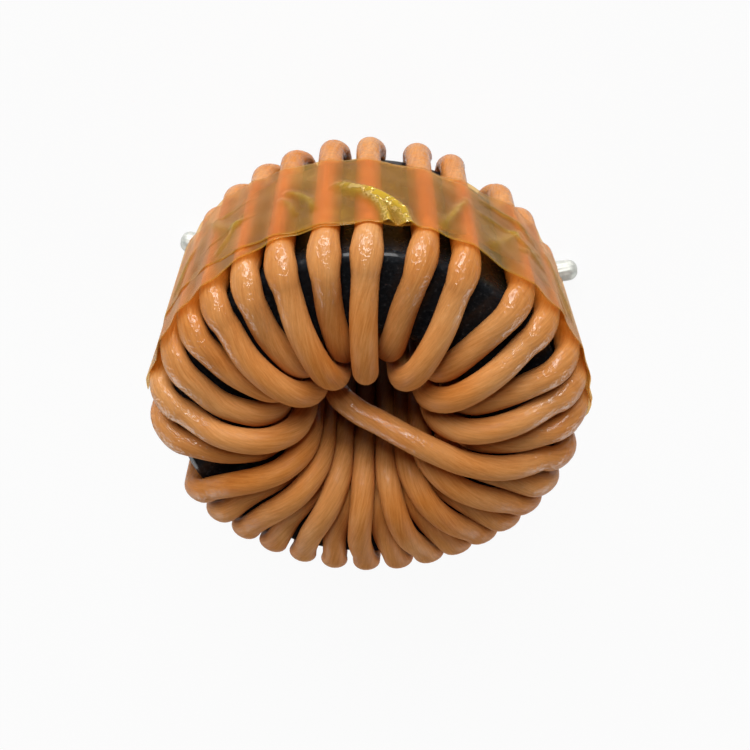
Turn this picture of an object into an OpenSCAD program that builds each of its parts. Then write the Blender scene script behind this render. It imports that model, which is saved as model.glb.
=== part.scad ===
// Toroidal power inductor: a coated ring core, wound by hand with thick served litz wire
// and bound round its outer wall with amber film tape. It lies on its rear face, ring axis up,
// and the two ends of the wire leave the rear rim as short tinned stubs.

/* [Core] */
// Outer diameter of the coated ring
core_od = 47.5; // [47:0.5:54]
// Diameter of the ring's hole
core_id = 25; // [24:0.5:26.5]
// Height of the ring along its axis
core_h = 24.5; // [18:0.5:32]
// Radius of the ring's rounded edges
core_edge = 2; // [1:0.25:2.25]

/* [Wire] */
// Diameter of the served litz wire
wire_d = 3.1; // [2.6:0.1:3.2]
// Clearance between a turn and what lies under or beside it
wire_gap = 0.1; // [0.1:0.05:0.3]
// How much wider than round the wire is pressed where it folds over the outer edges
fold_spread = 1.2; // [1:0.02:1.24]
// Angle that a turn leans through along the hole, towards the next turn
turn_lean = 4; // [2:0.5:5]

/* [Wire ends] */
// Diameter of a tinned wire end
tip_d = 2.9; // [2:0.1:3]
// Length of a tinned wire end
tip_length = 2; // [1.5:0.1:12]
// Chamfer round the cut face of a tinned wire end
tip_chamfer = 0.3; // [0.1:0.05:0.6]
// Radius that the wire's start bends through as it leaves the outer wall
start_bend = 2.5; // [2.25:0.25:4]

/* [Tape] */
// Width of the film tape
tape_width = 17; // [10:0.5:20]
// Thickness of the wound tape
tape_thickness = 0.2; // [0.1:0.05:0.4]
// Clearance between the tape and the crests of the turns
tape_gap = 0.05; // [0.05:0.05:0.3]
// How far the middle of the tape lies in front of the middle of the ring
tape_offset = 2.5; // [0:0.25:3]
// Slant of each of the two passes of the tape, which fan out to the rear at both sides
tape_slant = 8; // [0:0.5:9]

/* [Hidden] */
$fn = 96;

// Places of the hand-laid turns round the outer wall, in degrees. One wide gap is left open, and
// the last turn is the one that crosses the front of the ring
turn_angles = [5, 14.5, 24, 37.5, 48, 65.5, 76, 90, 100.5, 112, 121.5, 132.5, 142.5, 152.5,
               167.5, 180, 207.5, 218, 228.5, 239, 249.5, 260, 270.5, 281, 291, 300.5, 309.5,
               318.5, 327.5, 336.5, 348.5];
last_turn = len(turn_angles) - 1;
// Places of the plain turns on the front lip of the hole, in degrees
lip_angles = [-5.5, 8.5, 19.5, 34.5, 46.5, 63, 78, 92, 104, 115.5, 129, 139.5, 151, 168, 178.5,
              191.5, 203.5, 213.9, 224.2, 234.6, 244.9, 255.2, 265.6, 275.9, 286.2, 296.5, 306.4,
              316.3, 326.3, 336.6];
// Deeper in the hole the turns lie side by side, every second one in the groove between its
// neighbours, and the crossing turn comes down between two others. The first ones have more room
bore_start = -5;
wide_step = 13.5;
wide_slots = 10;
bore_step = 10.33;
crossing_slot = 13;

half_h = core_h / 2;
core_r = core_od / 2;
bore_r = core_id / 2;
wire_r = wire_d / 2;
pitch_d = wire_d + wire_gap;
edge_out = core_r - core_edge;
edge_in = bore_r + core_edge;
edge_z = half_h - core_edge;
face_mid = (edge_out + edge_in) / 2;
wall_r = core_r + wire_gap + wire_r;
face_z = half_h + wire_gap + wire_r;
wound_r = wall_r + wire_r;

// Rise of a turn in the groove between two turns at radius r, which keeps it one pitch from both
// of them, and a little more because the turns slant. Inward is 1 on the wall of the hole and 0
// on a face
groove = pow(2 * sin(bore_step / 2), 2);
groove_d = pitch_d + 0.05 * wire_d;
function nest(r, inward) =
    let (half_b = groove * r * inward / 2)
    let (root = half_b * half_b - groove * r * r + groove_d * groove_d)
    root <= 0 ? 0 : max(0, half_b + sqrt(root));

face_rise = nest(edge_in, 0);
upper_z = face_z + face_rise;
lower_r = bore_r - wire_gap - wire_r;
upper_r = lower_r - nest(lower_r, 1);
// The middle of the ring stands this far above the rear turns that it rests on
mid_z = upper_z + wire_r;

// Stations of one turn round the core's section: the middle of the corner or face that it turns
// about, the direction of its outward normal, its share of the way to the hole, and its share of
// the rise into a groove
fold_steps = [0, 22.5, 45, 67.5, 90];
hole_steps = [0, 30, 60, 90];
front_share = [0.45, 0.85];
rear_share = [0.2, 0.6];
front_stations = concat(
    [for (a = fold_steps) [edge_out, edge_z, a, front_share[0] * a / 90, 0]],
    [[face_mid, edge_z, 90, front_share[1], 0.65]],
    [for (a = hole_steps) [edge_in, edge_z, 90 + a, 1, 1]]);
rear_stations = concat(
    [for (a = hole_steps) [edge_in, -edge_z, 180 + a, 1, 1]],
    [[face_mid, -edge_z, 270, rear_share[1], 0.9]],
    [for (a = fold_steps) [edge_out, -edge_z, 270 + a, rear_share[0] * (90 - a) / 90, 0]]);

// How far a station's turn lies above the turns below it
function layer_rise(station, layer) =
    let (inward = max(0, -cos(station[2])))
    let (r = station[0] - (core_edge + wire_gap + wire_r) * inward)
    let (rise = station[4] == 1 ? nest(r, inward) : station[4] * face_rise)
    layer == 0 ? 0 : rise;

// Half of the width that the wire is left with at radius r, between turns of its own layer
function room(r) = min(wire_r, r * sin(bore_step) - wire_gap / 2);

// One place on the route: the wire's centre, its outward normal, half width and half thickness
function place(station, angle, layer) =
    let (rise = core_edge + wire_gap + wire_r + layer_rise(station, layer))
    let (r = station[0] + rise * cos(station[2]))
    let (z = station[1] + rise * sin(station[2]))
    let (spread = r > face_mid ? 1 + (fold_spread - 1) * pow(sin(2 * station[2]), 2) : 1)
    let (side = cos(station[2]))
    [[r * cos(angle), r * sin(angle), z],
     [side * cos(angle), side * sin(angle), sin(station[2])],
     r > edge_in ? wire_r * spread : room(r),
     wire_r / spread];

function slot_angle(slot) =
    bore_start + wide_step * min(slot, wide_slots) + bore_step * max(0, slot - wide_slots);
function slot(k) = k < crossing_slot ? k : k + 1;
function mix(a, b, share) = a + (b - a) * share;

// One turn: over the front face, down the hole, and over the rear face to the next turn's wall
function turn_route(k) =
    let (outside = turn_angles[k])
    let (inside = slot_angle(slot(k)))
    let (beyond = turn_angles[k + 1])
    let (layer = slot(k) % 2)
    concat(
        [for (s = front_stations) place(s, mix(outside, lip_angles[k], s[3]), layer)],
        [for (s = rear_stations) place(s, mix(beyond, inside + turn_lean, s[3]), layer)]);

// The start of the wire: a stub along the rear rim's radius, bent up on to the outer wall and
// swung a little on the way
start_swing = 4;
start_angle = turn_angles[0] + start_swing;
stub = 0.4;
start_r = wall_r + start_bend + stub;
function start_place(a, out) =
    let (angle = start_angle - start_swing * a / 90)
    let (r = wall_r + start_bend + out - start_bend * sin(a))
    let (z = start_bend - start_bend * cos(a) - upper_z)
    [[r * cos(angle), r * sin(angle), z],
     [sin(a) * cos(angle), sin(a) * sin(angle), cos(a)],
     wire_r,
     wire_r];
start_route = concat([start_place(0, stub)], [for (a = [0, 30, 60, 90]) start_place(a, 0)]);

// The crossing turn: up the wall, along the groove between its neighbours, across the hole and
// down between two turns
cross_angle = turn_angles[last_turn];
drop_angle = slot_angle(crossing_slot);
cross_fold = [for (a = fold_steps) place([edge_out, edge_z, a, 0, 0], cross_angle, 0)];
// Radius, angle, height above the first layer in turns, and how far the normal has swung from
// upright to outward
cross_steps = [[mix(edge_out, face_mid, 0.4), 347.5, 0.22, 0], [face_mid, 346.5, 0.52, 0],
               [1.06 * edge_in, 346, 0.74, 0], [0.79 * edge_in, 347.5, 0.86, 0],
               [0.51 * edge_in, 354, 0.72, 0], [0.3 * edge_in, 6, 0.42, 0],
               [0.13 * edge_in, 38, -0.08, 0.1], [0.14 * edge_in, 118, -0.44, 0.2],
               [0.28 * edge_in, 141, -0.95, 0.5]];
cross_span = [for (s = cross_steps)
    [[s[0] * cos(s[1]), s[0] * sin(s[1]), face_z + pitch_d * s[2]],
     [s[3] * cos(drop_angle), s[3] * sin(drop_angle), 1 - s[3]],
     wire_r,
     wire_r]];
function drop_place(share, z) =
    [[upper_r * share * cos(drop_angle), upper_r * share * sin(drop_angle), z],
     [cos(drop_angle), sin(drop_angle), 0],
     room(0.9 * upper_r),
     wire_r];
cross_drop = [drop_place(0.7, 0.55 * edge_z), drop_place(0.9, 0.2 * edge_z)];

// The finish of the wire: over the rear face on top of the turns, and out past the rim
finish_angle = (turn_angles[crossing_slot] + turn_angles[crossing_slot + 1]) / 2;
finish_r = wall_r + 1.5 * stub;
function flipped(p) = [p[0], -p[1], p[2], p[3]];
cross_rear = [for (a = hole_steps)
    flipped(place([edge_in, -edge_z, 180 + a, 1, 1], drop_angle + turn_lean, 1))];
function finish_place(r, share) =
    let (angle = mix(drop_angle + turn_lean, finish_angle, share))
    [[r * cos(angle), r * sin(angle), -upper_z], [0, 0, 1], wire_r, wire_r];
finish_route = [finish_place(face_mid, 0.5), finish_place(edge_out, 0.9),
                finish_place(wall_r, 1), finish_place(finish_r, 1)];

route = concat(
    start_route,
    [for (k = [0:last_turn - 1]) each turn_route(k)],
    cross_fold,
    cross_span,
    cross_drop,
    cross_rear,
    finish_route);

// A tube through every place on a route
sides = 8;
function unit(v) = v / norm(v);
function section(path, i) =
    let (p = path[i])
    let (ahead = path[min(i + 1, len(path) - 1)][0])
    let (behind = path[max(i - 1, 0)][0])
    let (along = unit(ahead - behind))
    let (across = unit(cross(along, p[1])))
    let (outward = cross(across, along))
    let (centre = p[0] + [0, 0, mid_z])
    [for (j = [0:sides - 1])
        let (a = j * 360 / sides)
        centre + across * p[2] * cos(a) + outward * p[3] * sin(a)];

module sweep(path) {
    last = len(path) - 1;
    points = [for (i = [0:last]) each section(path, i)];
    walls = [for (i = [0:last - 1]) for (j = [0:sides - 1])
        let (a = i * sides + j)
        let (b = i * sides + (j + 1) % sides)
        each [[a, b, b + sides], [a, b + sides, a + sides]]];
    first_cap = [for (j = [sides - 1:-1:0]) j];
    last_cap = [for (j = [0:sides - 1]) last * sides + j];
    polyhedron(points, concat(walls, [first_cap, last_cap]));
}

// The ring with its coating, its four edges rounded
module ring_core() {
    color("#1b1d20")
    translate([0, 0, mid_z])
    rotate_extrude()
    union() {
        translate([edge_in, -half_h])
        square([edge_out - edge_in, core_h]);
        translate([bore_r, -edge_z])
        square([core_r - bore_r, 2 * edge_z]);
        for (r = [edge_in, edge_out])
            for (z = [-edge_z, edge_z])
                translate([r, z])
                circle(core_edge);
    }
}

// The whole winding as one continuous wire, from the start stub to the finish stub
module winding() {
    color("#c98f5c")
    sweep(route);
}

// Two passes of film tape round the crests of the turns, slanted against each other. They share
// a front edge, and stop short of the bend where the wire starts
tape_r = wound_r + tape_gap;
tape_front = tape_offset + tape_width / 2;
tape_rear = start_bend - upper_z + 0.3;
tape_room = tape_front - tape_rear;
module tape_pass(slant) {
    translate([0, 0, mid_z + tape_offset])
    rotate([0, slant, 0])
    cube([3 * tape_r, 3 * tape_r, tape_width], center = true);
}

module tape_band() {
    color("#d88a1e")
    intersection() {
        translate([0, 0, mid_z + tape_rear])
        difference() {
            cylinder(h = tape_room, r = tape_r + tape_thickness);
            translate([0, 0, -1])
            cylinder(h = tape_room + 2, r = tape_r);
        }
        union() {
            tape_pass(tape_slant);
            tape_pass(-tape_slant);
        }
    }
}

// A solder-dipped end of the wire, standing on the wire's cut face
tip_r = tip_d / 2;
tip_profile = [[0, 0], [tip_r, 0], [tip_r, tip_length - tip_chamfer],
               [tip_r - tip_chamfer, tip_length], [0, tip_length]];
module tip(angle, r) {
    rotate([0, 0, angle])
    translate([r, 0, mid_z - upper_z])
    rotate([0, 90, 0])
    rotate_extrude()
    polygon(tip_profile);
}

module start_tip() {
    color("#b9bdbb")
    tip(start_angle, start_r);
}

module finish_tip() {
    color("#b9bdbb")
    tip(finish_angle, finish_r);
}

ring_core();
winding();
tape_band();
start_tip();
finish_tip();
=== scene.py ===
# %% [markdown]
# A wound ring inductor, dressed for its photograph.
# The imported model gives the solids, already in place and in metres. They are loaded first and never
# moved, so every piece that follows can be laid exactly where its solid lies.

# %% Load the imported model
import math
import bpy
import numpy as np
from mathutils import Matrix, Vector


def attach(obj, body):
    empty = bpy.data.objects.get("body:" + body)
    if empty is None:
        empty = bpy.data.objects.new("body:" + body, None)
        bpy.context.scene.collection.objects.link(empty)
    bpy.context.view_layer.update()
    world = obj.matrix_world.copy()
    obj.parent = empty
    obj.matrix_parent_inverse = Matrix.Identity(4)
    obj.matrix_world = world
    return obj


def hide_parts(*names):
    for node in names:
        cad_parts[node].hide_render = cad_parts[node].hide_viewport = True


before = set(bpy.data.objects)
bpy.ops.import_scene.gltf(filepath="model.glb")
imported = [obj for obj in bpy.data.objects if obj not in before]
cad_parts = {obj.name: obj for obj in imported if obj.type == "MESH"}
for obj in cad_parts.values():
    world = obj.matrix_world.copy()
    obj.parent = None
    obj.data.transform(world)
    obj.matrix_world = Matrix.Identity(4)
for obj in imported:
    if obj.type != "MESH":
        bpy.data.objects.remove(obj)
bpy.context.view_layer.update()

print("solids:", sorted(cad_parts))

# %% [markdown]
# The camera looks down on the ring at an angle of 37 degrees from its axis, with the near wall of
# the ring at the top of the picture. Its distance and lens were fitted to the outline of the coil
# in the photograph, which also fixes how strongly the near side looks larger than the far side.
# A camera can be turned with a matrix of its own three directions or with angles. One angle is
# enough here, because the fit only tips the camera about the picture's level line.

# %% Camera
MM = 0.001                       # metres in a millimetre
RING_MIDDLE = 17.557             # millimetres from the floor to the middle of the ring
view_tilt = math.radians(37)
view_distance = 123.6            # millimetres from the middle of the ring to the lens
picture = 750                    # pixels across the square picture
focal_length = 932               # pixels
aim_x, aim_y = 368.5, 362.5      # the pixel that the lens points at

eye = bpy.data.cameras.new("Photo_camera")
eye.sensor_width = 36
eye.lens = eye.sensor_width * focal_length / picture
eye.shift_x = (picture / 2 - aim_x) / picture
eye.shift_y = (aim_y - picture / 2) / picture
eye.clip_start = 0.005
camera = bpy.data.objects.new("Photo_camera", eye)
bpy.context.scene.collection.objects.link(camera)
camera.location = (0, view_distance * math.sin(view_tilt) * MM,
                   (RING_MIDDLE + view_distance * math.cos(view_tilt)) * MM)
camera.rotation_euler = (-view_tilt, 0, 0)
bpy.context.scene.camera = camera
print("camera at", [round(v, 4) for v in camera.location], "lens", round(eye.lens, 2))

# %% [markdown]
# Every finish in this file is a small tree of nodes. Such a tree can be wired link by link, which
# soon hides what it does. A few short tools keep it readable instead: each makes one node, gives
# its inputs a value or another node's output, and hands on what the next node needs.

# %% Tools for nodes
def put(tree, socket, value):
    """Give an input a value, or join it to another node's output."""
    if isinstance(value, bpy.types.NodeSocket):
        tree.links.new(value, socket)
    else:
        socket.default_value = value


def fill(tree, node, **values):
    """Put values or outputs into a node's inputs by their names, with _ for a space."""
    for name, value in values.items():
        put(tree, node.inputs[name.replace("_", " ")], value)
    return node


def add(tree, kind, **values):
    """A new node with some of its inputs filled."""
    return fill(tree, tree.nodes.new(kind), **values)


def calc(tree, operation, *values):
    """The result of a sum on numbers or outputs."""
    node = tree.nodes.new("ShaderNodeMath")
    node.operation = operation
    for socket, value in zip(node.inputs, values):
        put(tree, socket, value)
    return node.outputs[0]


def scaled(tree, value, start, end, low, high, curve="LINEAR"):
    """Low where the value is at start, high where it is at end, and held beyond both."""
    node = add(tree, "ShaderNodeMapRange", Value=value, From_Min=start, From_Max=end,
               To_Min=low, To_Max=high)
    node.interpolation_type = curve
    return node.outputs[0]


def mix_shader(tree, share, first, second):
    """Two shaders mixed, with the given share of the second."""
    node = tree.nodes.new("ShaderNodeMixShader")
    for socket, value in zip(node.inputs, (share, first, second)):
        put(tree, socket, value)
    return node.outputs[0]


def new_material(name):
    """A node material, with its tree, its Principled shader and its output."""
    material = bpy.data.materials.new(name)
    material.use_nodes = True
    tree = material.node_tree
    shader = next(n for n in tree.nodes if n.type == "BSDF_PRINCIPLED")
    output = next(n for n in tree.nodes if n.type == "OUTPUT_MATERIAL")
    return material, tree, shader, output


print("tools for nodes are ready")

# %% [markdown]
# The studio is a white sweep under a large soft light, as for a catalogue picture. A floor that is
# simply lit would come out grey, and more lamps would bleach the coil. So the floor shows itself
# as almost white to the camera, and paler in reflections too, and keeps part of its own shading, so
# that the shadow stays under the coil.

# %% White floor
def new_piece(name, points, faces, edges=()):
    """A smooth mesh object in the scene."""
    mesh = bpy.data.meshes.new(name)
    mesh.from_pydata([tuple(p) for p in points], edges, faces)
    mesh.polygons.foreach_set("use_smooth", [True] * len(mesh.polygons))
    piece = bpy.data.objects.new(name, mesh)
    bpy.context.scene.collection.objects.link(piece)
    return piece


floor_paint, tree, shader, output = new_material("White_sweep")
fill(tree, shader, Base_Color=(0.9, 0.9, 0.9, 1), Roughness=0.9)
rays = tree.nodes.new("ShaderNodeLightPath").outputs
straight_white, mirrored_white, white_share = 0.93, 0.35, 0.0
for ray, amount in (("Is Camera Ray", straight_white), ("Is Glossy Ray", mirrored_white),
                    ("Is Transmission Ray", mirrored_white)):
    white_share = calc(tree, "MULTIPLY_ADD", rays[ray], amount, white_share)
glow = add(tree, "ShaderNodeEmission", Strength=1.0)
floor_look = mix_shader(tree, white_share, shader.outputs[0], glow.outputs[0])
put(tree, output.inputs["Surface"], floor_look)

reach = 1.5
floor = new_piece("Floor", [(-reach, -reach, 0), (reach, -reach, 0), (reach, reach, 0),
                            (-reach, reach, 0)], [(0, 1, 2, 3)])
floor.data.materials.append(floor_paint)
print("floor", 2 * reach, "m across")

# %% [markdown]
# A large softbox stands low behind the top of the picture, so the outer folds are the brightest
# part and the front face falls off towards the hole. A small lamp above it makes the short broken
# glints where the varnished wire folds over the edge. Two weak panels low on the other side keep
# the far turns readable, and a dim sky fills the rest. Only the camera sees that sky as white.

# %% Soft studio light
def soft_panel(name, place, width, height, watts):
    """A rectangular lamp, measured in metres, that faces the middle of the ring."""
    lamp = bpy.data.lights.new(name, "AREA")
    lamp.shape = "RECTANGLE"
    lamp.size, lamp.size_y = width, height
    lamp.energy = watts
    holder = bpy.data.objects.new(name, lamp)
    bpy.context.scene.collection.objects.link(holder)
    holder.location = place
    ahead = Vector((0, 0, RING_MIDDLE * MM)) - Vector(place)
    holder.rotation_euler = ahead.to_track_quat("-Z", "Y").to_euler()


soft_panel("Main_softbox", (-0.05, 0.5, 0.13), 0.34, 0.34, 3.4)
soft_panel("Glint_lamp", (-0.03, 0.46, 0.385), 0.045, 0.09, 0.45)
soft_panel("Left_panel", (-0.4, -0.34, 0.16), 0.4, 0.4, 1.5)
soft_panel("Right_panel", (0.4, -0.34, 0.16), 0.4, 0.4, 1.5)

dim_sky, white_sky = 0.05, 1.0
world = bpy.data.worlds.new("White_sky")
world.use_nodes = True
sky = world.node_tree
sky_rays = sky.nodes.new("ShaderNodeLightPath").outputs
sky_level = scaled(sky, sky_rays["Is Camera Ray"], 0.0, 1.0, dim_sky, white_sky)
fill(sky, sky.nodes["Background"], Color=(1, 1, 1, 1), Strength=sky_level)
bpy.context.scene.world = world
bpy.context.scene.view_settings.view_transform = "Standard"

# %% [markdown]
# The winding is one piece of wire from end to end. Each turn runs up the outer wall, over the front
# face, down the hole and over the rear face to the next turn. The hole has room for only every
# second turn, so the others lie in the grooves between them. The route is written in the same terms
# as the solid: a list of places, each with the wire's centre, the direction away from the ring, and
# its half width and half thickness. The sizes come first, in millimetres and degrees.

# %% Sizes of the ring and the wire
core_r, bore_r, half_h = 23.75, 12.5, 12.25     # the coated ring: outside, hole and half height
core_edge = 2.0                                 # the rounding of its edges
wire_r, wire_gap = 1.55, 0.1                    # the wire, and the air left beside it
fold_spread = 1.2                               # how much wider the wire lies on an outer bend
turn_lean = 4.0                                 # how far a turn leans over on its way down the hole
turn_angles = [5, 14.5, 24, 37.5, 48, 65.5, 76, 90, 100.5, 112, 121.5, 132.5, 142.5, 152.5, 167.5,
               180, 207.5, 218, 228.5, 239, 249.5, 260, 270.5, 281, 291, 300.5, 309.5, 318.5,
               327.5, 336.5, 348.5]             # where each turn climbs the wall
lip_angles = [-5.5, 8.5, 19.5, 34.5, 46.5, 63, 78, 92, 104, 115.5, 129, 139.5, 151, 168, 178.5,
              191.5, 203.5, 213.9, 224.2, 234.6, 244.9, 255.2, 265.6, 275.9, 286.2, 296.5, 306.4,
              316.3, 326.3, 336.6]              # where each plain turn crosses the lip
bore_start, wide_step, wide_slots = -5.0, 13.5, 10   # the slots in the hole start with wide steps
bore_step, crossing_slot = 10.33, 13            # the usual step, and the slot of the last turn

pitch = 2 * wire_r + wire_gap
edge_out, edge_in, edge_z = core_r - core_edge, bore_r + core_edge, half_h - core_edge
face_mid = (edge_out + edge_in) / 2
wall_r = core_r + wire_gap + wire_r
face_z = half_h + wire_gap + wire_r
wound_r = wall_r + wire_r
print("turns", len(turn_angles), "wound radius", round(wound_r, 2))

# %% [markdown]
# A turn of the upper layer rests on its two neighbours, as a pipe lies in the groove between two
# others. How far that lifts it follows from their distance, which shrinks with the radius. So the
# height can be worked out, and doesn't have to be guessed for each turn.

# %% The upper layer
def sin_d(angle):
    return math.sin(math.radians(angle))


def cos_d(angle):
    return math.cos(math.radians(angle))


nest_slack = 0.1                                # of the wire's radius, as air between the layers
nest_pitch = pitch + nest_slack * wire_r
groove = (2 * sin_d(bore_step / 2)) ** 2


def nest(r, inward):
    """How far a turn rises when it lies in the groove between two others at radius r."""
    half = groove * r * inward / 2
    root = half * half - groove * r * r + nest_pitch ** 2
    return max(0.0, half + math.sqrt(root)) if root > 0 else 0.0


face_rise = nest(edge_in, 0)
upper_z = face_z + face_rise
lower_r = bore_r - wire_gap - wire_r
upper_r = lower_r - nest(lower_r, 1)
print("upper layer at height", round(upper_z, 2), "and radius", round(upper_r, 2))

# %% [markdown]
# A turn is described by a few stations round the section of the core. Between two stations nothing
# is decided yet: a smooth curve is drawn through them later, so they can stay few. A station holds
# the radius and height of a rounded corner, the turn round it in degrees, how far the turn has gone
# from its angle on the wall to its angle at the lip, and its share of the rise to the upper layer.

# %% Stations round the core
outer_bend, inner_bend = (0, 22.5, 45, 67.5, 90), (0, 30, 60, 90)
front = [(edge_out, edge_z, a, 0.45 * a / 90, 0) for a in outer_bend]
front += [(face_mid, edge_z, 90, 0.85, 0.65)]
front += [(edge_in, edge_z, 90 + a, 1, 1) for a in inner_bend]
rear = [(edge_in, -edge_z, 180 + a, 1, 1) for a in inner_bend]
rear += [(face_mid, -edge_z, 270, 0.6, 0.9)]
rear += [(edge_out, -edge_z, 270 + a, 0.2 * (90 - a) / 90, 0) for a in outer_bend]


def room(r):
    """Half the width that the wire finds between its neighbours in the hole."""
    return min(wire_r, r * sin_d(bore_step) - wire_gap / 2)


def place(station, angle, layer):
    """Centre, outward direction, half width and half thickness of the wire at one station."""
    corner_r, corner_z, turn, _, rise_share = station
    inward = max(0.0, -cos_d(turn))
    base = core_edge + wire_gap + wire_r
    rise = nest(corner_r - base * inward, inward) if rise_share == 1 else rise_share * face_rise
    lift = base + (rise if layer else 0)
    r = corner_r + lift * cos_d(turn)
    spread_out = 1 + (fold_spread - 1) * sin_d(2 * turn) ** 2 if r > face_mid else 1
    centre = (r * cos_d(angle), r * sin_d(angle), corner_z + lift * sin_d(turn))
    outward = (cos_d(turn) * cos_d(angle), cos_d(turn) * sin_d(angle), sin_d(turn))
    half_wide = wire_r * spread_out if r > edge_in else room(r)
    return centre, outward, half_wide, wire_r / spread_out


print("stations on a turn:", len(front) + len(rear))

# %% [markdown]
# The wire starts with a short stub that points away from the ring at the rear rim and bends up on
# to the wall. Then the plain turns follow, each through its own slot in the hole. Odd slots belong
# to the upper layer. The slot of the crossing turn is left out here.

# %% The start and the plain turns
def slot_angle(slot):
    """Angle of a slot in the hole."""
    return bore_start + wide_step * min(slot, wide_slots) + bore_step * max(0, slot - wide_slots)


def between(a, b, share):
    return a + (b - a) * share


start_bend, start_swing, stub = 2.5, 4.0, 0.4   # its radius, its swing aside, the straight end
start_angle = turn_angles[0] + start_swing
start_r = wall_r + start_bend + stub


def start_place(a, out):
    """The wire's place where it has bent up by a degrees, moved out by some millimetres."""
    r = wall_r + start_bend + out - start_bend * sin_d(a)
    angle = start_angle - start_swing * a / 90
    way = (cos_d(angle), sin_d(angle))
    centre = (r * way[0], r * way[1], start_bend - start_bend * cos_d(a) - upper_z)
    return centre, (sin_d(a) * way[0], sin_d(a) * way[1], cos_d(a)), wire_r, wire_r


route = [start_place(0, stub)] + [start_place(a, 0) for a in inner_bend]
for k, (wall, after) in enumerate(zip(turn_angles[:-1], turn_angles[1:])):
    slot = k if k < crossing_slot else k + 1
    inside, layer = slot_angle(slot) + turn_lean, slot % 2
    route += [place(s, between(wall, lip_angles[k], s[3]), layer) for s in front]
    route += [place(s, between(after, inside, s[3]), layer) for s in rear]
print("places on the plain turns:", len(route))

# %% [markdown]
# The last turn is the one that the eye goes to. It lies in the groove between its neighbours on the
# front face, crosses the hole in a slack bow and comes down between two turns on the far side. From
# there it runs over the rear face to its tinned end. The bow is given as the photograph shows it:
# radius, angle, height above the front turns in widths of the wire, and how far its section has
# swung round towards the wall of the hole.

# %% The crossing turn and the finish
cross_angle, drop_angle = turn_angles[-1], slot_angle(crossing_slot)
bow = [(between(edge_out, face_mid, 0.4), 347.5, 0.22, 0), (face_mid, 346.5, 0.52, 0),
       (1.06 * edge_in, 346, 0.74, 0), (0.79 * edge_in, 347.5, 0.86, 0),
       (0.51 * edge_in, 354, 0.72, 0), (0.3 * edge_in, 6, 0.42, 0),
       (0.13 * edge_in, 38, -0.08, 0.1), (0.14 * edge_in, 118, -0.44, 0.2),
       (0.28 * edge_in, 141, -0.95, 0.5)]
drop_way = (cos_d(drop_angle), sin_d(drop_angle))
route += [place((edge_out, edge_z, a, 0, 0), cross_angle, 0) for a in outer_bend]
for r, angle, height, swing in bow:
    centre = (r * cos_d(angle), r * sin_d(angle), face_z + pitch * height)
    route.append((centre, (swing * drop_way[0], swing * drop_way[1], 1 - swing), wire_r, wire_r))
for r, z in ((0.7 * upper_r, 0.55 * edge_z), (0.9 * upper_r, 0.2 * edge_z)):
    centre = (r * drop_way[0], r * drop_way[1], z)
    route.append((centre, (*drop_way, 0), room(0.9 * upper_r), wire_r))
for a in inner_bend:
    centre, out, wide, thick = place((edge_in, -edge_z, 180 + a, 1, 1), drop_angle + turn_lean, 1)
    route.append((centre, tuple(-v for v in out), wide, thick))
finish_angle = (turn_angles[crossing_slot] + turn_angles[crossing_slot + 1]) / 2
finish_r = wall_r + 1.5 * stub
for r, share in ((face_mid, 0.5), (edge_out, 0.9), (wall_r, 1), (finish_r, 1)):
    angle = between(drop_angle + turn_lean, finish_angle, share)
    route.append(((r * cos_d(angle), r * sin_d(angle), -upper_z), (0, 0, 1), wire_r, wire_r))
print("places in all:", len(route))

# %% [markdown]
# A polyline through these places would show its corners. A Catmull-Rom curve passes through every
# place and bends smoothly between them, but it overshoots where a long step meets a short one. So
# the long straight runs get extra places first.

# %% A smooth path through the places
def filled(rows, longest):
    """Rows with straight steps put into every run that is more than twice as long as longest."""
    out = [rows[0]]
    for a, b in zip(rows[:-1], rows[1:]):
        parts = math.ceil(np.linalg.norm(b[:3] - a[:3]) / longest)
        if parts < 3:
            parts = 1
        out += [a + (b - a) * (i + 1) / parts for i in range(parts)]
    return np.array(out)


def smooth(rows, steps):
    """Rows of numbers, with a Catmull-Rom curve drawn through them."""
    padded = np.vstack([2 * rows[0] - rows[1], rows, 2 * rows[-1] - rows[-2]])
    out = []
    for i in range(1, len(padded) - 2):
        a, b, c, d = padded[i - 1:i + 3]
        for t in np.arange(steps) / steps:
            out.append(0.5 * (2 * b + (c - a) * t + (2 * a - 5 * b + 4 * c - d) * t ** 2
                              + (3 * b - a - 3 * c + d) * t ** 3))
    return np.array(out + [rows[-1]])


def unit(rows):
    return rows / np.linalg.norm(rows, axis=1, keepdims=True)


longest_run, curve_steps = 2.5, 4
places = np.array([[*centre, *out, wide, thick] for centre, out, wide, thick in route])
path_rows = smooth(filled(places, longest_run), curve_steps)
centres = path_rows[:, :3]
along = np.concatenate([[0], np.cumsum(np.linalg.norm(np.diff(centres, axis=0), axis=1))])
forward = unit(np.gradient(centres, axis=0))
across = unit(np.cross(forward, path_rows[:, 3:6]))
outward = np.cross(across, forward)
print("wire of", round(along[-1] / 1000, 2), "m in", len(centres), "rings")

# %% [markdown]
# Hand work is never even, so the width of the wire swells and narrows a little along its length. A
# noise would do, but a sum of two slow waves is simpler and gives the same wire each time. At
# both ends the serving stops, and only the thinner bundle goes on into the solder.

# %% The uneven width
swell = 1 + 0.02 * np.sin(along / 7.3) + 0.015 * np.sin(along / 3.1 + 1.7)
bare_width, bare_length, taper = 0.88, 0.9, 0.3
from_end = np.minimum(along, along[-1] - along)
served = bare_width + (1 - bare_width) * np.clip((from_end - bare_length) / taper, 0, 1)
half_wide = path_rows[:, 6] * swell * served
half_thick = path_rows[:, 7] * (2 - swell) * served
print("wire from", round(2 * half_wide.min(), 2), "to", round(2 * half_wide.max(), 2), "mm wide")

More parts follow.
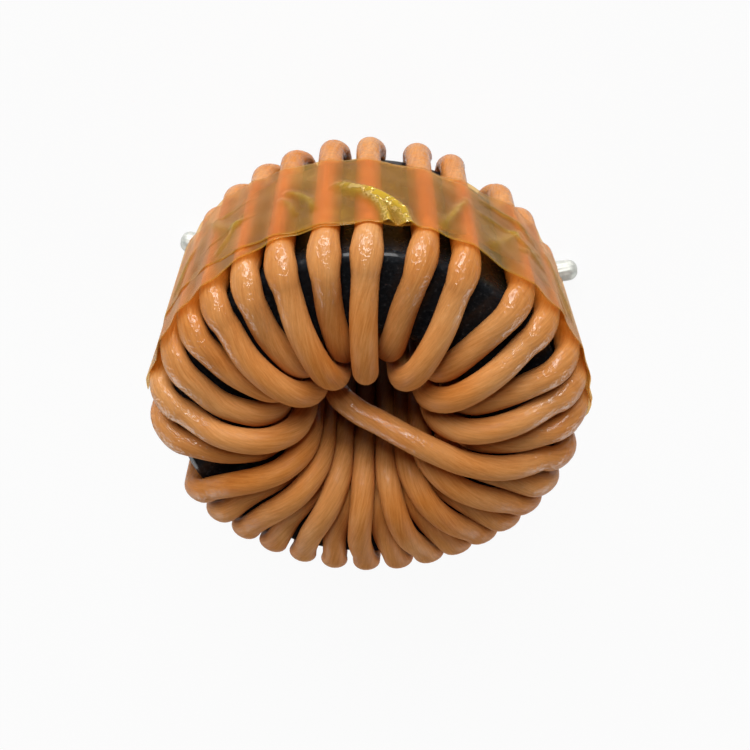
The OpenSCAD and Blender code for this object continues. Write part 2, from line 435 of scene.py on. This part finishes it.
# %% [markdown]
# The wire itself is litz: many fine copper strands, bunched with a slow twist, covered with a tan
# fibre serving and soaked in varnish. A bevelled curve would sweep a circle along the path too, but
# it can't press the wire flat on the bends, and Geometry Nodes can. The path carries the centre and
# the two directions of each ring as attributes. The number of sides, the twist and the finish are
# inputs of the tree, so that they can be changed later.

# %% Geometry Nodes: inputs of the wire
wire_tree = bpy.data.node_groups.new("Served_wire", "GeometryNodeTree")
plugs = wire_tree.interface
plugs.new_socket("Path", in_out="INPUT", socket_type="NodeSocketGeometry")
wire_inputs = {}
for name, kind in (("Sides", "NodeSocketInt"), ("Lay length", "NodeSocketFloat"),
                   ("Fibre stretch", "NodeSocketFloat"), ("Finish", "NodeSocketMaterial")):
    wire_inputs[name] = plugs.new_socket(name, in_out="INPUT", socket_type=kind).identifier
plugs.new_socket("Wire", in_out="OUTPUT", socket_type="NodeSocketGeometry")
given = wire_tree.nodes.new("NodeGroupInput").outputs
print("tree inputs:", list(wire_inputs))

# %% [markdown]
# The tree makes a plain tube along the path and notes on each vertex how far round the circle it
# is. Then it moves every vertex on to the pressed section, which is wider than thick on the bends.

# %% Geometry Nodes: the pressed tube
def named(name, kind="FLOAT"):
    """A value that the points carry under a name."""
    node = wire_tree.nodes.new("GeometryNodeInputNamedAttribute")
    node.data_type = kind
    node.inputs["Name"].default_value = name
    return node.outputs["Attribute"]


def store(geometry, name, kind, value):
    """The geometry, with a value kept on its points under a name."""
    node = wire_tree.nodes.new("GeometryNodeStoreNamedAttribute")
    node.data_type, node.domain = kind, "POINT"
    return fill(wire_tree, node, Geometry=geometry, Name=name, Value=value).outputs[0]


def vector_calc(operation, vector, other):
    """A vector scaled by a number, or added to another one."""
    node = wire_tree.nodes.new("ShaderNodeVectorMath")
    node.operation = operation
    put(wire_tree, node.inputs[0], vector)
    put(wire_tree, node.inputs["Scale" if operation == "SCALE" else 1], other)
    return node.outputs[0]


circle = add(wire_tree, "GeometryNodeCurvePrimitiveCircle", Resolution=given["Sides"], Radius=1.0)
way_round = wire_tree.nodes.new("GeometryNodeSplineParameter").outputs["Factor"]
profile = store(circle.outputs["Curve"], "around", "FLOAT", way_round)
curve = add(wire_tree, "GeometryNodeMeshToCurve", Mesh=given["Path"])
tube = add(wire_tree, "GeometryNodeCurveToMesh", Curve=curve.outputs["Curve"],
           Profile_Curve=profile, Fill_Caps=True)
angle = calc(wire_tree, "MULTIPLY", named("around"), 2 * math.pi)
wide = calc(wire_tree, "MULTIPLY", calc(wire_tree, "COSINE", angle), named("half_wide"))
thick = calc(wire_tree, "MULTIPLY", calc(wire_tree, "SINE", angle), named("half_thick"))
offset = vector_calc("ADD", vector_calc("SCALE", named("across", "FLOAT_VECTOR"), wide),
                     vector_calc("SCALE", named("outward", "FLOAT_VECTOR"), thick))
pressed = add(wire_tree, "GeometryNodeSetPosition", Geometry=tube.outputs["Mesh"],
              Position=vector_calc("ADD", named("centre", "FLOAT_VECTOR"), offset))
print("nodes so far:", len(wire_tree.nodes))

# %% [markdown]
# The finish needs to know which way the fibres run. So the tree also stores a place in a space of
# their own: round the wire, turned a little further with each step along it, and stretched
# lengthwise. A noise that is read there comes out as streaks that bend with the wire.

# %% Geometry Nodes: the lay of the fibres
lay_turns = calc(wire_tree, "DIVIDE", named("along"), given["Lay length"])
turned = calc(wire_tree, "ADD", angle, calc(wire_tree, "MULTIPLY", lay_turns, 2 * math.pi))
fibre_place = add(wire_tree, "ShaderNodeCombineXYZ", X=calc(wire_tree, "COSINE", turned),
                  Y=calc(wire_tree, "SINE", turned),
                  Z=calc(wire_tree, "DIVIDE", named("along"), given["Fibre stretch"]))
combed = store(pressed.outputs[0], "fibre", "FLOAT_VECTOR", fibre_place.outputs[0])
soft = add(wire_tree, "GeometryNodeSetShadeSmooth", Geometry=combed)
real = add(wire_tree, "GeometryNodeRealizeInstances", Geometry=soft.outputs[0])
coat = add(wire_tree, "GeometryNodeSetMaterial", Geometry=real.outputs[0],
           Material=given["Finish"])
put(wire_tree, wire_tree.nodes.new("NodeGroupOutput").inputs[0], coat.outputs[0])
print("nodes in the tree:", len(wire_tree.nodes))

# %% [markdown]
# The finishes share a few more tools: noises, colour ramps, mixed colours and bumps. A noise mostly
# stays between 0.3 and 0.7, so one tool spreads it to the range that is wanted. Another finds the
# lines along which a noise has its middle value. They are thin and crooked, just as varnish runs
# and film wrinkles.

# %% Tools for finishes
def noise(tree, vector, scale, detail, roughness=0.5):
    """A noise, read at the places that a vector gives."""
    return add(tree, "ShaderNodeTexNoise", Vector=vector, Scale=scale, Detail=detail,
               Roughness=roughness).outputs["Fac"]


def spread(tree, value, low, high):
    """A noise, spread from low to high."""
    return scaled(tree, value, 0.3, 0.7, low, high)


def crooked_lines(tree, value, inner, outer, low):
    """1 along the lines where a noise has its middle value, falling to low beside them."""
    away = calc(tree, "ABSOLUTE", calc(tree, "SUBTRACT", value, 0.5))
    return scaled(tree, away, inner, outer, 1.0, low, "SMOOTHSTEP")


def ramp(tree, factor, *stops):
    """A colour ramp with its stops as (place, colour)."""
    node = add(tree, "ShaderNodeValToRGB", Fac=factor)
    while len(node.color_ramp.elements) < len(stops):
        node.color_ramp.elements.new(0.5)
    for element, (spot, colour) in zip(node.color_ramp.elements, stops):
        element.position = spot
        element.color = (*colour, 1)
    return node.outputs["Color"]


def mix_colour(tree, share, first, second, kind="MIX"):
    """Two colours mixed, with the given share of the second."""
    node = tree.nodes.new("ShaderNodeMix")
    node.data_type = "RGBA"
    node.blend_type = kind
    for spot, value in ((0, share), (6, first), (7, second)):    # 6 and 7 take the colours
        put(tree, node.inputs[spot], value)
    return node.outputs[2]


def bump(tree, height, strength, distance, **under):
    """The bent normal of a bump, on top of another one if that is given."""
    return add(tree, "ShaderNodeBump", Height=height, Strength=strength, Distance=distance,
               **under).outputs[0]


def object_space(tree):
    return tree.nodes.new("ShaderNodeTexCoord").outputs["Object"]


def carried(tree, name):
    """The outputs of what the mesh carries under a name."""
    node = tree.nodes.new("ShaderNodeAttribute")
    node.attribute_name = name
    return node.outputs


print("tools for finishes are ready")

# %% [markdown]
# The colour of the served wire has three scales. Fine fibres run along the twist and give streaks.
# Broad, soft patches go from sandy tan to orange, where the varnish lies thicker. And deep in the
# hole the wire is painted a dark reddish brown, as painted shade for the little light that gets in
# there. The fibres are read in their own space, so they bend with the wire, and the rest uses the
# object's space, in metres.

# %% Finish: colour of the served wire
litz_finish, tree, shader, _ = new_material("Served_litz")
fibre, space = carried(tree, "fibre")["Vector"], object_space(tree)
streaks = noise(tree, fibre, 5.5, 4.0, 0.62)
hairs = noise(tree, fibre, 19.0, 3.0, 0.6)
patches = noise(tree, space, 95.0, 3.0)
sandy = ramp(tree, streaks, (0.3, (0.55, 0.230, 0.068)), (0.5, (0.62, 0.280, 0.090)),
             (0.7, (0.68, 0.330, 0.120)))
warm = ramp(tree, streaks, (0.3, (0.47, 0.146, 0.024)), (0.5, (0.54, 0.184, 0.034)),
            (0.7, (0.60, 0.224, 0.048)))
body = mix_colour(tree, spread(tree, patches, 0.0, 1.0), sandy, warm)

wire_x, wire_y, wire_z = add(tree, "ShaderNodeSeparateXYZ", Vector=space).outputs
from_axis = calc(tree, "SQRT", calc(tree, "ADD", calc(tree, "POWER", wire_x, 2.0),
                                    calc(tree, "POWER", wire_y, 2.0)))
# Painted shade: deep in the hole the wire's colour is darkened to a reddish brown.
in_hole = scaled(tree, from_axis, 10.5 * MM, 13.5 * MM, 1.0, 0.0)
deep = scaled(tree, wire_z, 17 * MM, 29 * MM, 0.6, 0.0)
painted_hole_shade = calc(tree, "MULTIPLY", in_hole, deep)
body = mix_colour(tree, painted_hole_shade, body, (0.30, 0.085, 0.014, 1))

hair_shade = spread(tree, hairs, 0.9, 1.07)
shade = add(tree, "ShaderNodeCombineColor", Red=hair_shade, Green=hair_shade, Blue=hair_shade)
fill(tree, shader, Base_Color=mix_colour(tree, 1.0, body, shade.outputs[0], "MULTIPLY"),
     Roughness=spread(tree, hairs, 0.5, 0.66), Specular_IOR_Level=0.08)
print("finish:", litz_finish.name, "with", len(tree.nodes), "nodes")

# %% [markdown]
# The varnish has run into thin crooked ridges, so a highlight on it is a scribble of bright lines.
# The crooked lines of a noise carry both its height and its gloss. It was poured from the near side
# and stayed on the outer bends and on the crossing turn, so the flat of the front is almost bare,
# and so is the part deep in the hole that is darkened as painted shade. Low on the wall the ridges
# are fainter.

# %% Finish: varnish on the wire
bare_r = 13.5                    # millimetres from the axis to the middle of the bare flat
varnish = crooked_lines(tree, noise(tree, space, 1300.0, 1.0), 0.0, 0.18, 0.1)
ridges = scaled(tree, wire_z, 20 * MM, 27 * MM, 0.15, 1.0)
hair_bump = bump(tree, hairs, 0.2, 0.1 * MM)
varnish_bump = bump(tree, varnish, ridges, 0.05 * MM, Normal=hair_bump)

off_flat = calc(tree, "ABSOLUTE", calc(tree, "SUBTRACT", from_axis, bare_r * MM))
gloss_share = scaled(tree, off_flat, 5 * MM, 7 * MM, 0.08, 1.0)
poured = scaled(tree, wire_y, -18 * MM, 4 * MM, 0.15, 1.0)
# The gloss is taken off where the hole is painted with shade.
outside_hole_shade = calc(tree, "MULTIPLY_ADD", painted_hole_shade, -1.6, 1.0)
for mask in (poured, outside_hole_shade, varnish):
    gloss_share = calc(tree, "MULTIPLY", gloss_share, mask)
fill(tree, shader, Normal=hair_bump, Coat_Normal=varnish_bump, Coat_Weight=gloss_share,
     Coat_Roughness=0.06, Coat_IOR=1.55)
print("finish:", litz_finish.name, "with", len(tree.nodes), "nodes")

# %% [markdown]
# Now the tree is run on the path. The modifier's inputs are set before the object is first
# evaluated, the result becomes a plain mesh, and the helper data that only the tree needed is
# dropped from it. The pressed rings run round the other way than the tube's own, so the faces look
# inwards until they are flipped.

# %% The winding
def path_object(name, points, values):
    """A chain of edges with the named values on its points."""
    piece = new_piece(name, points, [], [(i, i + 1) for i in range(len(points) - 1)])
    for key, rows in values.items():
        kind, field = ("FLOAT_VECTOR", "vector") if rows.ndim == 2 else ("FLOAT", "value")
        column = piece.data.attributes.new(key, kind, "POINT")
        column.data.foreach_set(field, rows.astype(np.float32).ravel())
    return piece


def made_plain(piece, keep):
    """The evaluated piece as a plain mesh without modifiers, with only the kept attributes."""
    ready = piece.evaluated_get(bpy.context.evaluated_depsgraph_get())
    mesh = bpy.data.meshes.new_from_object(ready)
    needed = {*keep, "sharp_face", "material_index"}
    for name in [a.name for a in mesh.attributes if not (a.is_internal or a.is_required)]:
        if name not in needed:
            mesh.attributes.remove(mesh.attributes[name])
    piece.modifiers.clear()
    piece.data = mesh


centres_m = (centres + np.array([0, 0, RING_MIDDLE])) * MM
winding = path_object("litz_winding", centres_m, {
    "centre": centres_m, "across": across, "outward": outward, "half_wide": half_wide * MM,
    "half_thick": half_thick * MM, "along": along * MM})
sweep_step = winding.modifiers.new("Served_wire", "NODES")
sweep_step.node_group = wire_tree
sweep_step[wire_inputs["Sides"]] = 22
sweep_step[wire_inputs["Lay length"]] = 50 * MM
sweep_step[wire_inputs["Fibre stretch"]] = 16 * MM
sweep_step[wire_inputs["Finish"]] = litz_finish
made_plain(winding, ["fibre"])
winding.data.flip_normals()
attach(winding, "root")
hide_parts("winding")
print("winding", len(winding.data.polygons), "faces", [m.name for m in winding.data.materials])

# %% [markdown]
# The ring is pressed powder under a thick black coating. The coating is glossy but not a mirror: it
# was dipped, so it has a faint orange peel and some dust. Both are noises in the object's space, a
# broad one for the peel and a fine one for the dust.

# %% Finish: black coating
coating, tree, shader, _ = new_material("Black_coating")
space = object_space(tree)
peel, dust = noise(tree, space, 420.0, 3.0), noise(tree, space, 2600.0, 2.0)
tint = ramp(tree, dust, (0.35, (0.008, 0.009, 0.011)), (0.62, (0.016, 0.018, 0.021)),
            (0.75, (0.05, 0.052, 0.055)))
fill(tree, shader, Base_Color=tint, Roughness=spread(tree, peel, 0.2, 0.36),
     Normal=bump(tree, peel, 0.25, 0.2 * MM), Specular_IOR_Level=0.1, Coat_Weight=0.3,
     Coat_Roughness=0.05)
print("finish:", coating.name)

# %% [markdown]
# The solid ring could be kept, but its rounded edges are made of flats, and a flat catches a lamp
# all at once or not at all. So the ring is turned again on the same sizes, with smooth edges that
# are a little tighter outside, and the lamp draws the thin bright line that a coated edge shows.

# %% The ring
def turned_ring(name, corners, steps, segments):
    """A ring turned from a section of four corners, each with its own edge radius."""
    middle_r, middle_z, _ = np.mean(corners, axis=0)
    section = []
    for k, (r, z, edge) in enumerate(corners):
        heart_r = r - math.copysign(edge, r - middle_r)
        heart_z = z - math.copysign(edge, z - middle_z)
        for turn in [90 * (k + i / steps) for i in range(steps + 1)]:
            section.append((heart_r + edge * cos_d(turn), heart_z + edge * sin_d(turn)))
    count = len(section)
    points, faces = [], []
    for j in range(segments):
        way = (cos_d(360 * j / segments), sin_d(360 * j / segments))
        points += [(r * way[0] * MM, r * way[1] * MM, (z + RING_MIDDLE) * MM) for r, z in section]
        here, there = j * count, (j + 1) % segments * count
        faces += [(here + i, there + i, there + (i + 1) % count, here + (i + 1) % count)
                  for i in range(count)]
    return new_piece(name, points, faces)


outer_edge = 1.1
ring = turned_ring("coated_ring", [(core_r, half_h, outer_edge), (bore_r, half_h, core_edge),
                                   (bore_r, -half_h, core_edge), (core_r, -half_h, outer_edge)],
                   steps=12, segments=192)
ring.data.materials.append(coating)
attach(ring, "root")
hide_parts("ring_core")
print("ring", len(ring.data.polygons), "faces")

# %% [markdown]
# The tape is thin amber film, wound on in two passes that slant against each other. Film can't
# stretch, so it lies on the crests of the turns and spans the gaps in straight facets, its edges
# sag a little between the turns, and where it met itself badly it stands up in a fold. Cloth
# simulation would find such folds, but not these. So each pass is a grid whose radius is written as
# a rule: the taut hull of the turns, then sags, puckers and folds at chosen places.

# %% The taut hull of the turns
hull_angles = np.array(sorted(a % 360 for a in turn_angles))
film_lift = 0.06                 # millimetres of air between the crests and the film


def hull_radius(angle):
    """Radius of film over the crests, the way from one crest to the next, and their distance."""
    a = np.asarray(angle) % 360
    later = np.searchsorted(hull_angles, a) % len(hull_angles)
    before, after = hull_angles[later - 1], hull_angles[later]
    gap = (after - before) % 360
    past = (a - before) % 360
    half = np.radians(gap / 2)
    chord = (wound_r + film_lift) * np.cos(half) / np.cos(np.radians(past) - half)
    return chord, past / gap, gap


print("film spans gaps of", round(float(np.diff(hull_angles).max()), 1), "degrees at most")

# %% [markdown]
# A fold is a ridge along a line on the film: its height falls off to both sides, and tapers to
# nothing at its ends. Soft puckers are the same with a wider, lower ridge. Between the turns the
# film sags, most of all at its cut edges and in the wide gaps, and a slow wave keeps it from lying
# too flat.

# %% Folds and sags of the film
def ridge(angle, z, line, height, width):
    """A ridge along a bent line of (degrees, millimetres) spots, standing on the film."""
    x, z = np.broadcast_arrays(np.radians(angle) * wound_r, z)
    spots = np.array([(math.radians(a) * wound_r, y) for a, y in line])
    steps = np.diff(spots, axis=0)
    lengths = np.hypot(*steps.T)
    nearest, where = np.full(x.shape, np.inf), np.zeros(x.shape)
    for start, step, length, done in zip(spots, steps, lengths, np.cumsum(lengths) - lengths):
        t = np.clip(((x - start[0]) * step[0] + (z - start[1]) * step[1]) / length ** 2, 0, 1)
        off = np.hypot(x - start[0] - t * step[0], z - start[1] - t * step[1])
        where = np.where(off < nearest, (done + t * length) / lengths.sum(), where)
        nearest = np.minimum(off, nearest)
    return height * np.sqrt(where * (1 - where) * 4) * np.exp(-(nearest / width) ** 2)


def film_radius(angle, z, share, layer, seed):
    """Radius of a pass at an angle and height. Share goes from 0 at its rear edge to 1 in front."""
    edge_reach, layer_step, wave_height = 0.16, 0.07, 0.06
    least_sag, more_sag, close_gap = 0.10, 0.02, 9
    taut, t, gap = hull_radius(angle)
    slack = np.sin(np.pi * t) ** 2 * (least_sag + more_sag * (gap - close_gap))
    front_sag = np.exp(-((1 - share) / edge_reach) ** 2)
    rear_sag = 0.6 * np.exp(-(share / edge_reach) ** 2)
    waves = np.sin(angle * 0.61 + z * 0.55 + seed) * np.sin(angle * 0.23 - z * 0.8 + 2.1 * seed)
    return (taut + layer_step * layer - slack * (0.35 + 1.1 * (front_sag + rear_sag))
            + wave_height * waves * np.sin(np.pi * t))


sample = film_radius(np.array([65.5, 70.75]), 0.0, 1.0, 0, 0.4)
print("film edge on a turn and between two:", [round(float(r), 2) for r in sample], "mm")

# %% [markdown]
# Each pass also keeps four masks on its points for the finish: where the film touches a turn, where
# it stands up in a fold, where its cut edges are, and where it is puckered at all. The strip is
# closed: an outer and an inner grid of points, joined along their four edges.

# %% One pass of film
def film_masks(angle, share, width, raised):
    """Touch, fold, rim and pucker at each point of a pass, from 0 to 1."""
    touch_reach, touch_blur, rim_width = 1.05, 0.24, 0.3
    _, t, gap = hull_radius(angle)
    off_crest = np.minimum(t, 1 - t) * np.radians(gap) * wound_r
    resting = np.clip(1 - raised / 0.5, 0, 1)
    touch = 1 / (1 + np.exp((off_crest - touch_reach) / touch_blur)) * resting
    fold = np.clip((raised - 0.3) / 0.7, 0, 1)
    rim = np.exp(-(np.minimum(share, 1 - share) * width / rim_width) ** 2)
    pucker = np.clip(raised / 0.35, 0, 1)
    return np.stack([touch, fold, rim, pucker], -1).reshape(-1, 4)


def strip_faces(columns, rows):
    """The quads of a closed strip of two grids."""
    def at(i, j, inner):
        return i * rows + j + columns * rows * inner

    faces, last, tail = [], rows - 1, columns - 1
    for i in range(columns - 1):
        for j in range(rows - 1):
            faces.append((at(i, j, 0), at(i + 1, j, 0), at(i + 1, j + 1, 0), at(i, j + 1, 0)))
            faces.append((at(i, j, 1), at(i, j + 1, 1), at(i + 1, j + 1, 1), at(i + 1, j, 1)))
        faces.append((at(i, 0, 1), at(i + 1, 0, 1), at(i + 1, 0, 0), at(i, 0, 0)))
        faces.append((at(i, last, 0), at(i + 1, last, 0), at(i + 1, last, 1), at(i, last, 1)))
    for j in range(rows - 1):
        faces.append((at(0, j, 0), at(0, j + 1, 0), at(0, j + 1, 1), at(0, j, 1)))
        faces.append((at(tail, j, 1), at(tail, j + 1, 1), at(tail, j + 1, 0), at(tail, j, 0)))
    return faces


def film_pass(name, start, end, front_edge, rear_edge, layer, folds, lifted, seed):
    """One pass of film as a thin closed strip, with its folds and its lifted free end."""
    columns, rows, thick = 620, 40, 0.06
    a = np.linspace(start, end, columns)[:, None]
    share = np.linspace(0, 1, rows)[None, :]
    width = front_edge(a) - rear_edge(a)
    z = rear_edge(a) + width * share
    raised = sum(ridge(a, z, *fold) for fold in folds)
    r = film_radius(a, z, share, layer, seed) + raised + lifted(a, share)
    way = np.radians(a)
    grids = [np.stack([rr * np.cos(way), rr * np.sin(way), z + RING_MIDDLE], -1).reshape(-1, 3)
             for rr in (r, r - thick)]
    piece = new_piece(name, np.vstack(grids) * MM, strip_faces(columns, rows))
    tone = film_masks(a, share, width, raised)
    masks = piece.data.attributes.new("film_tone", "FLOAT_COLOR", "POINT")
    masks.data.foreach_set("color", np.vstack([tone, tone]).astype(np.float32).ravel())
    return piece


print("a strip of 3 by 2 points has", len(strip_faces(3, 2)), "faces")

# %% [markdown]
# The film's colour comes from what is behind it as much as from itself. Where its gum wets a turn
# it glows orange with soft borders, over the black core it goes olive, and its folds and cut edges
# look golden. A noise makes the gum patchy, and the masks then lay the other colours over it.

# %% Finish: colour of the film
film_finish, tree, shader, output = new_material("Amber_film")
space = object_space(tree)
haze, creases = noise(tree, space, 140.0, 4.0, 0.6), noise(tree, space, 420.0, 3.0)
tone = carried(tree, "film_tone")
touch, fold, rim = add(tree, "ShaderNodeSeparateColor", Color=tone["Color"]).outputs
olive = ramp(tree, haze, (0.32, (0.25, 0.135, 0.018)), (0.5, (0.34, 0.205, 0.032)),
             (0.68, (0.47, 0.32, 0.06)))
orange = ramp(tree, haze, (0.3, (0.82, 0.27, 0.05)), (0.7, (0.88, 0.38, 0.095)))
wetted = calc(tree, "MULTIPLY", touch, spread(tree, haze, 0.7, 1.0))
film_colour = mix_colour(tree, wetted, olive, orange)
puckered = calc(tree, "MULTIPLY", tone["Alpha"], 0.7)
for mask, gold in ((puckered, (0.54, 0.38, 0.03, 1)), (rim, (0.80, 0.47, 0.06, 1)),
                   (fold, (0.62, 0.42, 0.015, 1))):
    film_colour = mix_colour(tree, mask, film_colour, gold)
print("finish:", film_finish.name, "with", len(tree.nodes), "nodes")

# %% [markdown]
# Real film is clear, hazy and glossy at once. So the finish mixes a tinted see-through shader with
# a hazy body in that colour, and puts a gloss on top, which grows at a glancing angle and along the
# fine wrinkles of the folds. Each pass has an outer and an inner face, so each face takes only part
# of the colour.

# %% Finish: clear and glossy film
wrinkles = crooked_lines(tree, noise(tree, space, 900.0, 1.0), 0.01, 0.07, 0.1)
crinkle = bump(tree, creases, 0.25, 0.2 * MM, Normal=bump(tree, wrinkles, fold, 0.12 * MM))
fill(tree, shader, Base_Color=film_colour, Roughness=spread(tree, creases, 0.1, 0.22),
     Normal=crinkle, Specular_IOR_Level=0.2)
clear = add(tree, "ShaderNodeBsdfTransparent", Color=(1.0, 0.82, 0.52, 1))
hazy_share = calc(tree, "MULTIPLY_ADD", fold, 0.4, 0.25)
film_body = mix_shader(tree, hazy_share, clear.outputs[0], shader.outputs[0])

gloss_tint = mix_colour(tree, fold, (1.0, 0.88, 0.66, 1), (1.0, 0.74, 0.22, 1))
gloss = add(tree, "ShaderNodeBsdfGlossy", Color=gloss_tint, Roughness=0.16, Normal=crinkle)
glance = add(tree, "ShaderNodeLayerWeight", Blend=0.5).outputs["Facing"]
sheen = scaled(tree, calc(tree, "POWER", glance, 4.0), 0.0, 1.0, 0.008, 0.33)
bright_folds = calc(tree, "MULTIPLY", fold, wrinkles)
gloss_share = calc(tree, "MULTIPLY_ADD", bright_folds, 0.8, sheen)
film_look = mix_shader(tree, gloss_share, film_body, gloss.outputs[0])
put(tree, output.inputs["Surface"], film_look)
print("finish:", film_finish.name, "with", len(tree.nodes), "nodes")

# %% [markdown]
# A hand-wound strip isn't straight, so the edges of a pass are given as heights at a few angles,
# and its folds as lines of a few spots, each with a height and a width. All were read off the
# photograph where it shows them. The first pass lies below, with its free end at the left.

# %% The first pass of film
def heights(*spots):
    """A height at every angle, in straight lines between the given (angle, height) spots."""
    angles, values = zip(*spots)
    return lambda a: np.interp(a, angles, values)


def lifted_end(angle, reach, height):
    """How far the free end of a pass bends away from the turns over its last stretch."""
    def lift_of(a, share):
        near = np.clip(1 - np.abs(a - angle) / reach, 0, 1)
        return height * near ** 1.5 * (0.25 + 0.75 * share)
    return lift_of


first_front = heights((-200, 11.2), (-186, 9.0), (-170, 5.0), (-30, 5.0), (0, 7.0), (45, 8.3),
                      (75, 10.4), (90, 11.0), (110, 11.4), (130, 12.6), (150, 12.9), (172, 10.4))
first_rear = heights((-200, -2.6), (-90, -7.0), (-20, -9.0), (20, -8.6), (45, -6.2), (59, -4.6),
                     (70, -3.4), (90, -4.4), (110, -4.0), (135, -2.6), (172, -2.6))
first_folds = [([(143, -5.0), (131, -1.5), (119, -1.0)], 0.35, 0.4),
               ([(150, 6.0), (140, -1.0)], 0.4, 0.8),
               ([(137, 4.5), (126, 3.2), (117, 3.6)], 0.3, 0.4),
               ([(40, 2.0), (52, 7.0)], 0.35, 0.8),
               ([(130, 8.0), (122, 1.0)], 0.35, 0.8)]
first_pass = film_pass("film_first_pass", -200, 172, first_front, first_rear, 0, first_folds,
                       lifted_end(172, 14, 0.4), 0.4)
print(first_pass.name, len(first_pass.data.polygons), "faces")

# %% [markdown]
# The second pass lies over the first, and its free end is at the right, where a corner of the film
# stands off the winding. Its front edge was caught in a large double fold at the top of the
# picture. That fold is two ridges which run together, with a valley for the light to play in.

# %% The second pass of film
second_front = heights((3, 10.3), (25, 12.0), (45, 12.8), (60, 12.4), (75, 11.4), (95, 11.0),
                       (110, 10.9), (122, 10.1), (135, 8.3), (150, 7.4), (180, 7.0), (195, 5.0),
                       (340, 5.0), (352, 9.0), (362, 11.5), (382, 12.0))
second_rear = heights((3, -3.0), (45, -1.6), (70, -2.6), (90, -4.4), (104, -5.2), (119, -6.2),
                      (130, -7.6), (150, -8.6), (200, -9.0), (270, -7.0), (330, -3.6),
                      (382, -2.6))
large_fold = [([(98.4, 1.7), (92.6, 4.0), (88.1, 5.5), (84.9, 6.7), (82.2, 8.4), (79.6, 14.0)],
               1.0, 0.75),
              ([(90.8, 5.2), (88.3, 6.7), (86.4, 8.6), (84.4, 14.0)], 0.8, 0.6)]
small_folds = [([(111.2, 1.1), (107.3, 2.5), (104.2, 4.8), (102.7, 7.6)], 0.5, 0.45),
               ([(112.0, 2.4), (109.0, 4.7), (107.3, 7.6)], 0.4, 0.4),
               ([(72.8, 10.2), (68.4, 4.9), (64.7, 1.1)], 0.5, 0.5),
               ([(60, 10.0), (48, 1.0)], 0.4, 0.7),
               ([(61, -1.0), (51, -0.6), (42, 1.0)], 0.4, 0.4),
               ([(62, 3.0), (52, 3.6), (40, 6.0)], 0.35, 0.4),
               ([(28, 9.0), (38, 0.0)], 0.4, 0.9),
               ([(126, 4.0), (140, -6.0)], 0.4, 0.8)]
second_pass = film_pass("film_second_pass", 3, 382, second_front, second_rear, 2,
                        large_fold + small_folds, lifted_end(3, 14, 0.4), 1.9)
for piece in (first_pass, second_pass):
    piece.data.materials.append(film_finish)
    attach(piece, "root")
    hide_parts("tape_band")
print(second_pass.name, len(second_pass.data.polygons), "faces")

# %% [markdown]
# The two ends of the wire are stripped and dipped in solder. A mirror of metal would be too bright:
# solder that has set in air is dull and grained, so the finish is only partly metallic and rough.

# %% Finish: tinned strands
solder_finish, tree, shader, _ = new_material("Tinned_strands")
grain = noise(tree, object_space(tree), 1800.0, 4.0)
silver = ramp(tree, grain, (0.3, (0.55, 0.57, 0.53)), (0.7, (0.74, 0.76, 0.71)))
fill(tree, shader, Base_Color=silver, Roughness=spread(tree, grain, 0.5, 0.68),
     Normal=bump(tree, grain, 0.2, 0.1 * MM), Metallic=0.45)
print("finish:", solder_finish.name)

# %% [markdown]
# The solder fills the bundle but the outer strands still show as grooves, and the dip leaves a soft
# drop at the end. A turned profile with a wavy rim gives both. It starts a little way back on the
# wire, where the serving stops.

# %% The tinned wire ends
def tinned_end(name, angle, r_start):
    """A grooved rod that closes in a soft drop, on the wire's end at a radius from the axis."""
    rings, sides, strands = 26, 72, 14
    radius, length, overlap, dome = 1.52, 3.0, 1.0, 0.5
    narrowing, groove_depth, twist, point_r = 0.04, 0.05, 2.2, 0.01
    rows = []
    for t in [i / (rings - 1) for i in range(rings)]:
        drop = math.sqrt(max(0.0, 1 - max(0.0, (t - dome) / (1 - dome)) ** 2.5))
        rod = radius * (1 - narrowing * t) * drop + point_r
        depth = groove_depth * (1 - t) ** 0.5
        for turn in [2 * math.pi * j / sides for j in range(sides)]:
            r = rod * (1 - depth * (0.5 + 0.5 * math.cos(strands * turn + twist * t)))
            rows.append((length * t - overlap, r * math.cos(turn), r * math.sin(turn)))
    way, side, up = [(cos_d(angle), sin_d(angle), 0), (-sin_d(angle), cos_d(angle), 0), (0, 0, 1)]
    root = np.array(way) * r_start + np.array(up) * wire_r
    points = root + np.array(rows) @ np.array([way, side, up])
    faces = [(i * sides + j, i * sides + (j + 1) % sides, (i + 1) * sides + (j + 1) % sides,
              (i + 1) * sides + j) for i in range(rings - 1) for j in range(sides)]
    faces.append(tuple(range(sides))[::-1])
    faces.append(tuple((rings - 1) * sides + j for j in range(sides)))
    return new_piece(name, points * MM, faces)


for name, angle, r_start, node in (("tinned_start", start_angle, start_r, "start_tip"),
                                   ("tinned_finish", finish_angle, finish_r, "finish_tip")):
    piece = tinned_end(name, angle, r_start)
    piece.data.materials.append(solder_finish)
    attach(piece, "root")
    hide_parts(node)
    print(piece.name, len(piece.data.polygons), "faces")
